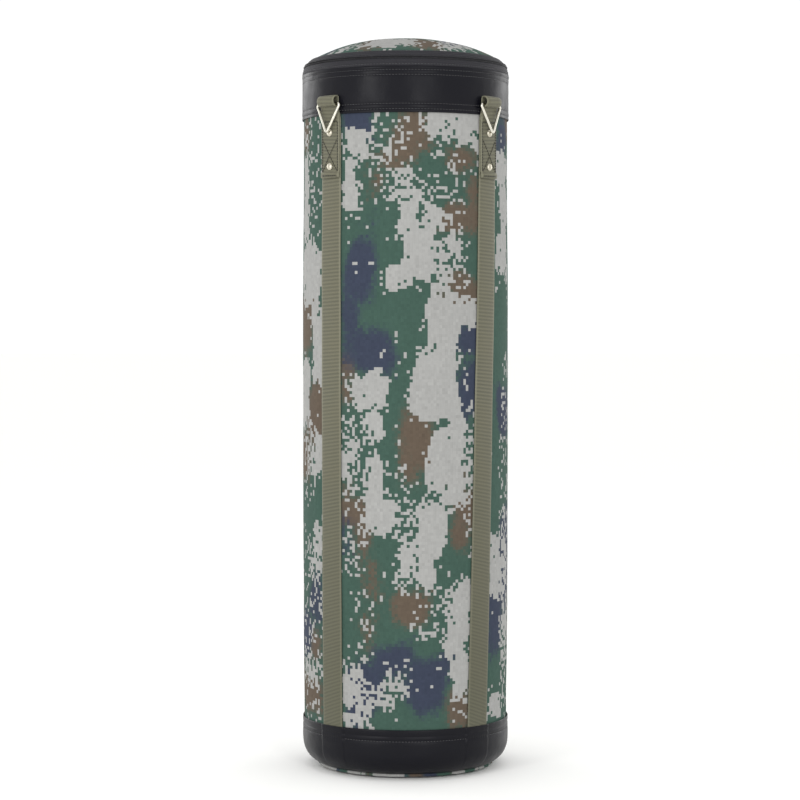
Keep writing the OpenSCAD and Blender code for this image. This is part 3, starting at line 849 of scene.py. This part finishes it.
# The webbing's section: across and through, both as shares of half its size. The woven edges are
# rounded, with a fine groove inside them
SECTION = [(-1, 0), (-0.985, 0.7), (-0.93, 1), (-0.87, 0.8), (-0.82, 1), (-0.6, 1), (-0.35, 1), (-0.12, 1),
           (0.12, 1), (0.35, 1), (0.6, 1), (0.82, 1), (0.87, 0.8), (0.93, 1), (0.985, 0.7), (1, 0),
           (0.93, -1), (0.5, -1), (0, -1), (-0.5, -1), (-0.93, -1), (-1, 0)]
ROUTE, ALONG, WIDTH, STRAIGHT, TAIL_START = strap_route()
TANGENT = np.gradient(ROUTE, axis=0)
TANGENT /= np.linalg.norm(TANGENT, axis=1)[:, None]


def strap_angle(i, z):
    """The strap leans a little between its foot and its rivets."""
    rivets_z = sum(RIVET_ZS) / 2
    share = (rivets_z - z) / (rivets_z - BASE_HEM_Z)
    return TOP_ANGLES[i] + (FOOT_ANGLES[i] - TOP_ANGLES[i]) * max(share, 0.0)


def rib_slant(z):
    """The weft runs square to the webbing above and is dragged askew towards the foot."""
    return 0.06 + 0.36 * min(max(1 - z / (620 * MM), 0), 1)


def webbing_material():
    """Polypropylene webbing: matt olive, ribbed across by its weft, with painted shade in the rib grooves and
    painted highlights on the crests, paler at its woven edges.
    """
    material, tree, shader = start_material("olive_polypropylene_webbing", Roughness=0.62, Sheen_Weight=0.1,
                                            Sheen_Roughness=0.35, Specular_IOR_Level=0.35)
    uv = add(tree, "ShaderNodeUVMap", uv_map="cloth")
    place = add(tree, "ShaderNodeSeparateXYZ", {"Vector": uv})
    across = calc(tree, "ABSOLUTE", place)
    # Weft ribs at 5.15 mm, in the mesh's phase: painted shade darkens each groove and a painted highlight
    # lightens each crest
    crest = calc(tree, "COSINE", calc(tree, "MULTIPLY", (place, "Y"), tau / RIB))
    # Warp yarns, 1.5 mm apart
    yarn = bands(tree, uv, 1.5 * MM, 0.6, "X")
    fleck = mottle(tree, uv, 1.4 * MM, 1.0)
    fade = mottle(tree, uv, 60 * MM)
    # Darker towards the foot
    foot = add(tree, "ShaderNodeMapRange", {"Value": (place, "Y")},
               {"From Min": 120 * MM, "From Max": 520 * MM, "To Min": 0.4, "To Max": 0.0})
    # Painted shade in the rib grooves and painted highlight on the crests
    painted_rib_shading = calc(tree, "MULTIPLY_ADD", crest, 0.2, 0.42)
    yarned = calc(tree, "MULTIPLY_ADD", (yarn, "Fac"), 0.2, painted_rib_shading)
    flecked = calc(tree, "MULTIPLY_ADD", fleck, 0.45, yarned)
    body = mix(tree, calc(tree, "SUBTRACT", flecked, 0.32, use_clamp=True), "#45443a", "#75745f")
    edge = add(tree, "ShaderNodeMapRange", {"Value": across},
               {"From Min": 15.5 * MM, "From Max": 17 * MM, "To Max": 0.55})
    faded = add(tree, "ShaderNodeMapRange", {"Value": fade},
                {"From Min": 0.3, "From Max": 0.7, "To Max": 0.3})
    worn = mix(tree, faded, mix(tree, edge, body, "#7d7c6a"), "#66624e")
    raised = calc(tree, "ADD", (yarn, "Fac"), fleck)
    surface(tree, shader, mix(tree, foot, worn, "#424333"), raised, 0.5, 0.15 * MM)
    return material


webbing = webbing_material()


def webbing_strap(i, lean):
    """One strap: a grid rolled into the webbing's section, then laid along its route."""
    rows, loops = len(ALONG) - 1, len(SECTION) - 1
    bm = bmesh.new()
    bmesh.ops.create_grid(bm, x_segments=loops, y_segments=rows, size=0.5)
    uv = bm.loops.layers.uv.new("cloth")
    for face in bm.faces:
        for loop in face.loops:
            row = round((loop.vert.co.y + 0.5) * rows)
            share = SECTION[round((loop.vert.co.x + 0.5) * loops)][0]
            slant = lean * rib_slant(ROUTE[row, 1])
            loop[uv].uv = (share * WEB_W / 2, ALONG[row] + slant * share * WEB_W / 2)
    for vert in bm.verts:
        row = round((vert.co.y + 0.5) * rows)
        share, side = SECTION[round((vert.co.x + 0.5) * loops)]
        r, z = ROUTE[row]
        slant = lean * rib_slant(z)
        across = share * WIDTH[row] / 2
        phase = tau * (ALONG[row] + slant * share * WEB_W / 2) / RIB
        rib = 0.16 * MM * cos(phase) * (abs(share) < 0.85)
        rise = side * (WEB_T / 2 + rib)
        sway = 0.5 * MM * noise.noise(Vector((i * 7.0, ALONG[row] * 9, 0))) * (z < 0.93)
        r += TANGENT[row, 1] * rise
        z -= TANGENT[row, 0] * rise
        angle = strap_angle(i, z) if ALONG[row] < TAIL_START else TOP_ANGLES[i]
        hugging = at_angle(angle + degrees((across + sway) / BAG_R), r, z)
        a = radians(angle)
        flat = at_angle(angle, r, z) + Vector((cos(a), sin(a), 0)) * across
        vert.co = hugging.lerp(flat, STRAIGHT[row])
    bmesh.ops.remove_doubles(bm, verts=bm.verts[:], dist=1e-6)
    bmesh.ops.holes_fill(bm, edges=[e for e in bm.edges if e.is_boundary])
    bmesh.ops.recalc_face_normals(bm, faces=bm.faces[:])
    finish_piece("webbing_strap_" + SIDES[i], bm, webbing, "bag", ["strap_" + SIDES[i]])


for i, lean in enumerate((-1, 1, -1, 1)):
    webbing_strap(i, lean)

# Cross stitching: a box with both diagonals through the tail, and a bar across its folded end. The
# thread is drawn 1.7 mm thick, coarser than it is, so that it shows
olive_thread = thread_material("olive_bonded_thread", "#23221a", "#3d3c2e")
TAIL_FACE_R = RUN_R + WEB_T * 1.5 + 0.2 * MM
CROSS_THREAD_R = 0.85 * MM
CROSS_STITCH = 3.3 * MM
CROSS_PITCH = 3.6
RIVET_CLEAR = 6.4 * MM
cross_bm = bmesh.new()
for i in range(4):
    lines = [((-14, 908), (15, 864)), ((14, 908), (-15, 864)), ((-15, 934.5), (15, 934.5)),
             ((-15.6, 864), (-15.6, 934)), ((15.6, 864), (15.6, 934)), ((-14, 858), (14, 858))]
    for (x0, z0), (x1, z1) in lines:
        long_way = hypot(x1 - x0, z1 - z0)
        count = int(long_way / CROSS_PITCH)
        tilt = atan2(z1 - z0, x1 - x0)
        for k in range(count):
            share = (k + 0.5) / count
            x, z = (x0 + (x1 - x0) * share) * MM, (z0 + (z1 - z0) * share) * MM
            if any(hypot(x, z - rivet) < RIVET_CLEAR for rivet in RIVET_ZS):
                continue
            made = one_stitch(cross_bm, CROSS_STITCH, CROSS_THREAD_R)
            out = TAIL_FACE_R + (1.7 * MM if z < 860 * MM else 0.0)
            angle = TOP_ANGLES[i] + degrees(x / out)
            place = (Matrix.Rotation(radians(angle), 4, "Z") @ Matrix.Translation((0, -out, z))
                     @ Matrix.Rotation(-tilt, 4, "Y"))
            bmesh.ops.transform(cross_bm, matrix=place, verts=made)
finish_piece("strap_cross_stitching", cross_bm, olive_thread, "bag")

# ---- rings ----
# A triangle bent from 4 mm steel wire, butt welded in the middle of its bar and bright nickel
# plated. The bar turns in the webbing's roll; the apex hangs on the upper rivet.
WIRE_R = 2 * MM
RING_HALF_W = 23.6 * MM
RING_H = 42 * MM
CORNER_R = 3 * MM
APEX_R = 2.6 * MM
BAR_DROP = 3.8 * MM
RING_LEAN = 5.5


def wire_run(bm, geom, move):
    """Draws the wire's end section out in a straight line."""
    last = bmesh.ops.spin(bm, geom=geom, cent=(0, 0, 0), axis=(1, 0, 0), dvec=move, angle=0, steps=1)
    return last["geom_last"]


def wire_bend(bm, geom, centre, turn):
    """Bends the wire's end section round a centre, in the ring's own plane."""
    last = bmesh.ops.spin(bm, geom=geom, cent=centre, axis=(1, 0, 0), dvec=(0, 0, 0), angle=-turn, steps=12)
    return last["geom_last"]


def wire_ring():
    """The ring in its own plane: bar along Y at the top, apex below."""
    leg_lean = atan2(RING_HALF_W, RING_H)
    corner, apex = pi / 2 + leg_lean, pi - 2 * leg_lean
    corner_cut, apex_cut = CORNER_R * tan(corner / 2), APEX_R * tan(apex / 2)
    leg = hypot(RING_HALF_W, RING_H) - corner_cut - apex_cut
    bm = bmesh.new()
    made = bmesh.ops.create_circle(bm, segments=24, radius=WIRE_R)["verts"]
    bmesh.ops.rotate(bm, verts=made, cent=(0, 0, 0), matrix=Matrix.Rotation(pi / 2, 3, "X"))
    geom = made + list({edge for vert in made for edge in vert.link_edges})
    heading, place = 0.0, Vector((0, 0, 0))
    half_bar = RING_HALF_W - corner_cut
    moves = [("run", half_bar), (CORNER_R, corner), ("run", leg), (APEX_R, apex), ("run", leg),
             (CORNER_R, corner), ("run", half_bar)]
    for kind, amount in moves:
        ahead = Vector((0, cos(heading), -sin(heading)))
        if kind == "run":
            geom = wire_run(bm, geom, ahead * amount)
            place += ahead * amount
        else:
            inward = Vector((0, -sin(heading), -cos(heading)))
            centre = place + inward * kind
            geom = wire_bend(bm, geom, centre, amount)
            place = centre + Matrix.Rotation(-amount, 3, "X") @ (place - centre)
            heading += amount
    weld(bm, 1e-5)
    return bm


# Bright nickel on drawn steel: mirror-like and warm white, very faintly clouded
nickel = cast_metal("bright_nickel_on_drawn_steel", "#e9e6da", "#c9c5b6", 0.16)
for i, side in enumerate(SIDES):
    ring_bm = wire_ring()
    hang = (Matrix.Rotation(radians(TOP_ANGLES[i] - 90), 4, "Z")
            @ Matrix.Translation((HINGE_R, 0, HINGE_Z))
            @ Matrix.Rotation(radians(-RING_LEAN), 4, "Y") @ Matrix.Translation((0, 0, -BAR_DROP)))
    bmesh.ops.transform(ring_bm, matrix=hang, verts=ring_bm.verts[:])
    finish_piece("wire_ring_" + side, ring_bm, nickel, side + "_ring", ["ring_" + side])

# ---- rivets ----
# Two tubular rivets through each strap and the canvas, with domed heads outside and their ends
# spread over a washer inside.
FACE_R = RUN_R + 1.5 * WEB_T + 0.05 * MM

rivet_nickel = cast_metal("nickel_plated_brass_rivet", "#dcd8ca", "#a9a28f", 0.24)
# The dome, its flat underside, the shank and the end rolled over the washer
rivet_profile = [(0, 2.8), (1.6, 2.68), (3.0, 2.3), (4.2, 1.65), (5.0, 0.95), (5.4, 0.45), (5.5, 0.12),
                 (5.3, 0), (4.6, -0.05), (2, -0.1), (2, -3.0), (2.0, -5.6), (3.1, -5.75), (3.2, -6.2),
                 (2.4, -6.6), (1.4, -6.3), (1.2, -5.2), (0, -5.0)]
rivets_bm = bmesh.new()
for angle in TOP_ANGLES:
    for z in RIVET_ZS:
        before = set(rivets_bm.verts)
        line = draw_line(rivets_bm, [(r * MM, 0, h * MM) for r, h in rivet_profile])
        bmesh.ops.spin(rivets_bm, geom=line, **BAG_AXIS, angle=tau, steps=28, use_merge=True)
        made = [v for v in rivets_bm.verts if v not in before]
        tilt = Matrix.Rotation(radians(2.5 * sin(z * 900 + angle)), 4, "Y")
        place = (Matrix.Rotation(radians(angle), 4, "Z") @ Matrix.Translation((0, -FACE_R, z))
                 @ Matrix.Rotation(pi / 2, 4, "X") @ tilt)
        bmesh.ops.transform(rivets_bm, matrix=place, verts=made)
weld(rivets_bm)
finish_piece("domed_rivets", rivets_bm, rivet_nickel, "bag", ["strap_rivets"])
keep_node("rivet_washers", rivet_nickel)

# ---- filling ----
# Inside, a sack of packed textile scrap stands in a rolled foam sheet, between a foam pad that
# fills the turned foot and one that crowns the cap and shows when the cap is open.


def foam_material():
    """Grey polyurethane foam: dull, open cells 1.6 mm across, with broad stains."""
    material, tree, shader = start_material("grey_polyurethane_foam", Roughness=0.95, Specular_IOR_Level=0.15)
    place = in_object(tree)
    cells = add(tree, "ShaderNodeTexVoronoi", {"Vector": place}, {"Scale": 1 / (1.6 * MM)})
    stain = mottle(tree, place, 40 * MM, 3.0)
    depth = calc(tree, "MULTIPLY_ADD", (cells, "Distance"), 0.5, stain)
    surface(tree, shader, mix(tree, depth, "#8e9195", "#55585c"), (cells, "Distance"), 0.6, 0.5 * MM)
    return material


foam = foam_material()
liner_cloth = woven_material("unbleached_cotton_liner", "#cfcab8", "#a39d88", 1.5 * MM)
scrap = woven_material("shredded_textile_scrap", "#a39a90", "#5d5a63", 4 * MM)


def turned_solid(name, profile, steps, material, node, lumps, grain):
    """A padded body turned about the bag's axis, with an uneven surface."""
    bm = spin_profile(profile, steps, 12)
    for vert in bm.verts:
        radius = vert.co.xy.length
        push = abs(lumps * noise.noise(vert.co * grain))
        if radius > 1e-5:
            vert.co.x -= push * vert.co.x / radius
            vert.co.y -= push * vert.co.y / radius
        vert.co.z -= push
    return finish_piece(name, bm, material, "bag", [node])


def box_profile(outer, low, high, corner, inner=0.0):
    """Half a section with rounded outer corners, from the axis or from an inner radius."""
    ends = ((low + corner, range(-90, 1, 15)), (high - corner, range(0, 91, 15)))
    arcs = [(outer - corner + corner * cos(radians(t)), z + corner * sin(radians(t)))
            for z, turns in ends for t in turns]
    heights = [low + corner + (high - low - 2 * corner) * k / 24 for k in range(1, 24)]
    walls = [(outer, z) for z in heights]
    middle = len(arcs) // 2
    top = [(inner + (outer - corner - inner) * (1 - k / 8), high) for k in range(1, 9)]
    bottom = [(inner + (outer - corner - inner) * k / 8, low) for k in range(0, 8)]
    return bottom + arcs[:middle] + walls + arcs[middle:] + top


foam_low, foam_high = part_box("foam_wall")
FOAM_T = 15 * MM
foam_in = foam_high.x - FOAM_T
wall_profile = box_profile(foam_high.x, foam_low.z, foam_high.z, 4 * MM, foam_in) + [
    (foam_in, foam_high.z + (foam_low.z - foam_high.z) * k / 24) for k in range(1, 25)]
wall = turned_solid("foam_sheet_roll", wall_profile, 120, foam, "foam_wall", 0.5 * MM, 30)

pad_low, pad_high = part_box("top_pad")
pad_r = pad_high.x
crown = [(pad_r * (1 - k / 20), crown_height(pad_r * (1 - k / 20)) - 2.2 * MM) for k in range(21)]
pad_profile = [(pad_r * k / 14, pad_low.z) for k in range(14)] + [
    (pad_r - 1.2 * MM, pad_low.z + 0.6 * MM), (pad_r, pad_low.z + 3 * MM)] + [
    (pad_r, pad_low.z + (crown[0][1] - 2 * MM - pad_low.z) * k / 5) for k in range(2, 6)] + crown[1:]
pad = turned_solid("crown_foam_pad", pad_profile, 120, foam, "top_pad", 0.8 * MM, 18)

base_low, base_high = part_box("base_pad")
foot_profile = [(105 * MM * k / 10, base_low.z) for k in range(11)] + [
    foot_arc(t, -5.5 * MM) for t in range(70, -1, -7)] + [
    (base_high.x * (1 - k / 14), base_high.z) for k in range(1, 15)]
foot_pad = turned_solid("foot_foam_pad", foot_profile, 120, foam, "base_pad", 0.4 * MM, 24)

sack_low, sack_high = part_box("liner_sack")
sack_profile = [(sack_high.x * k / 12, sack_low.z + 0.4 * MM) for k in range(12)] + [
    (sack_high.x - 0.3 * MM, sack_low.z + 0.8 * MM + (sack_high.z - sack_low.z - 1 * MM) * k / 60)
    for k in range(61)]
sack_bm = spin_profile(sack_profile, 144, 12)
for vert in sack_bm.verts:
    # The sack creases lengthways as its filling settles
    radius = vert.co.xy.length
    if radius > 0.9 * sack_high.x:
        crease = abs(noise.noise(Vector((vert.co.x * 30, vert.co.y * 30, vert.co.z * 5))))
        vert.co.x, vert.co.y, _ = at_angle(azimuth(vert.co), radius - 0.35 * MM * crease)
sack = finish_piece("cotton_liner_sack", sack_bm, liner_cloth, "bag", ["liner_sack"])
thicken(sack, 0.35 * MM)

fill_low, fill_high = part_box("filling")
filling = turned_solid("textile_scrap_filling", box_profile(fill_high.x, fill_low.z, fill_high.z, 9 * MM),
                       144, scrap, "filling", 1.8 * MM, 45)
